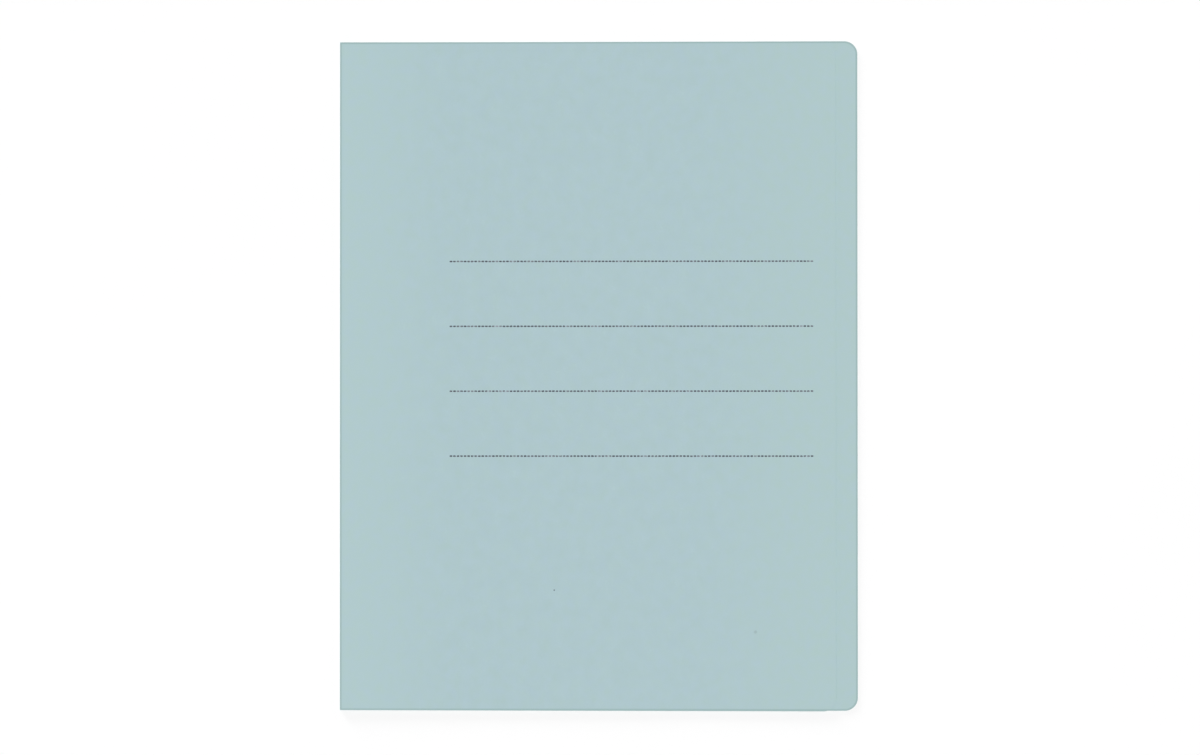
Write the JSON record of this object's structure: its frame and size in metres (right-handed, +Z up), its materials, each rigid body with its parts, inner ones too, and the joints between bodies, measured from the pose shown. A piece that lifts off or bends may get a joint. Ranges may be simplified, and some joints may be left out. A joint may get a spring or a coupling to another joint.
{
  "type": "insert folder",
  "caption": "Insert folder of stiff pale blue-grey card, folded once, with a narrower front cover that opens flat, rounded free corners and dotted writing lines.",
  "frame": {"origin": "middle of the closed folder's underside, where the back leaf lies on a table", "axes": "+X from the fold to the free edge, +Y up the sheet as it is written on, +Z up through the front leaf"},
  "size_m": [0.24, 0.31, 0.0009],
  "materials": {
    "card": "matt uncoated card, coloured through"
  },
  "bodies": {
    "back": {"back_leaf": "card"},
    "fold": {"fold_strip": "card"},
    "cover": {"front_leaf": "card"}
  },
  "joints": [
    {"name": "cover_hinge", "type": "hinge", "parent": "back", "child": "cover", "pos_m": [-0.12, 0, 0.00045], "axis": [0, -1, 0], "range_deg": [0, 180]},
    {"name": "fold_turn", "type": "hinge", "parent": "back", "child": "fold", "pos_m": [-0.11978, 0, 0.00022], "axis": [0, -1, 0], "range_deg": [0, 90]}
  ],
  "couplings": [
    {"joint": "fold_turn", "follows": "cover_hinge", "ratio": 0.5}
  ]
}
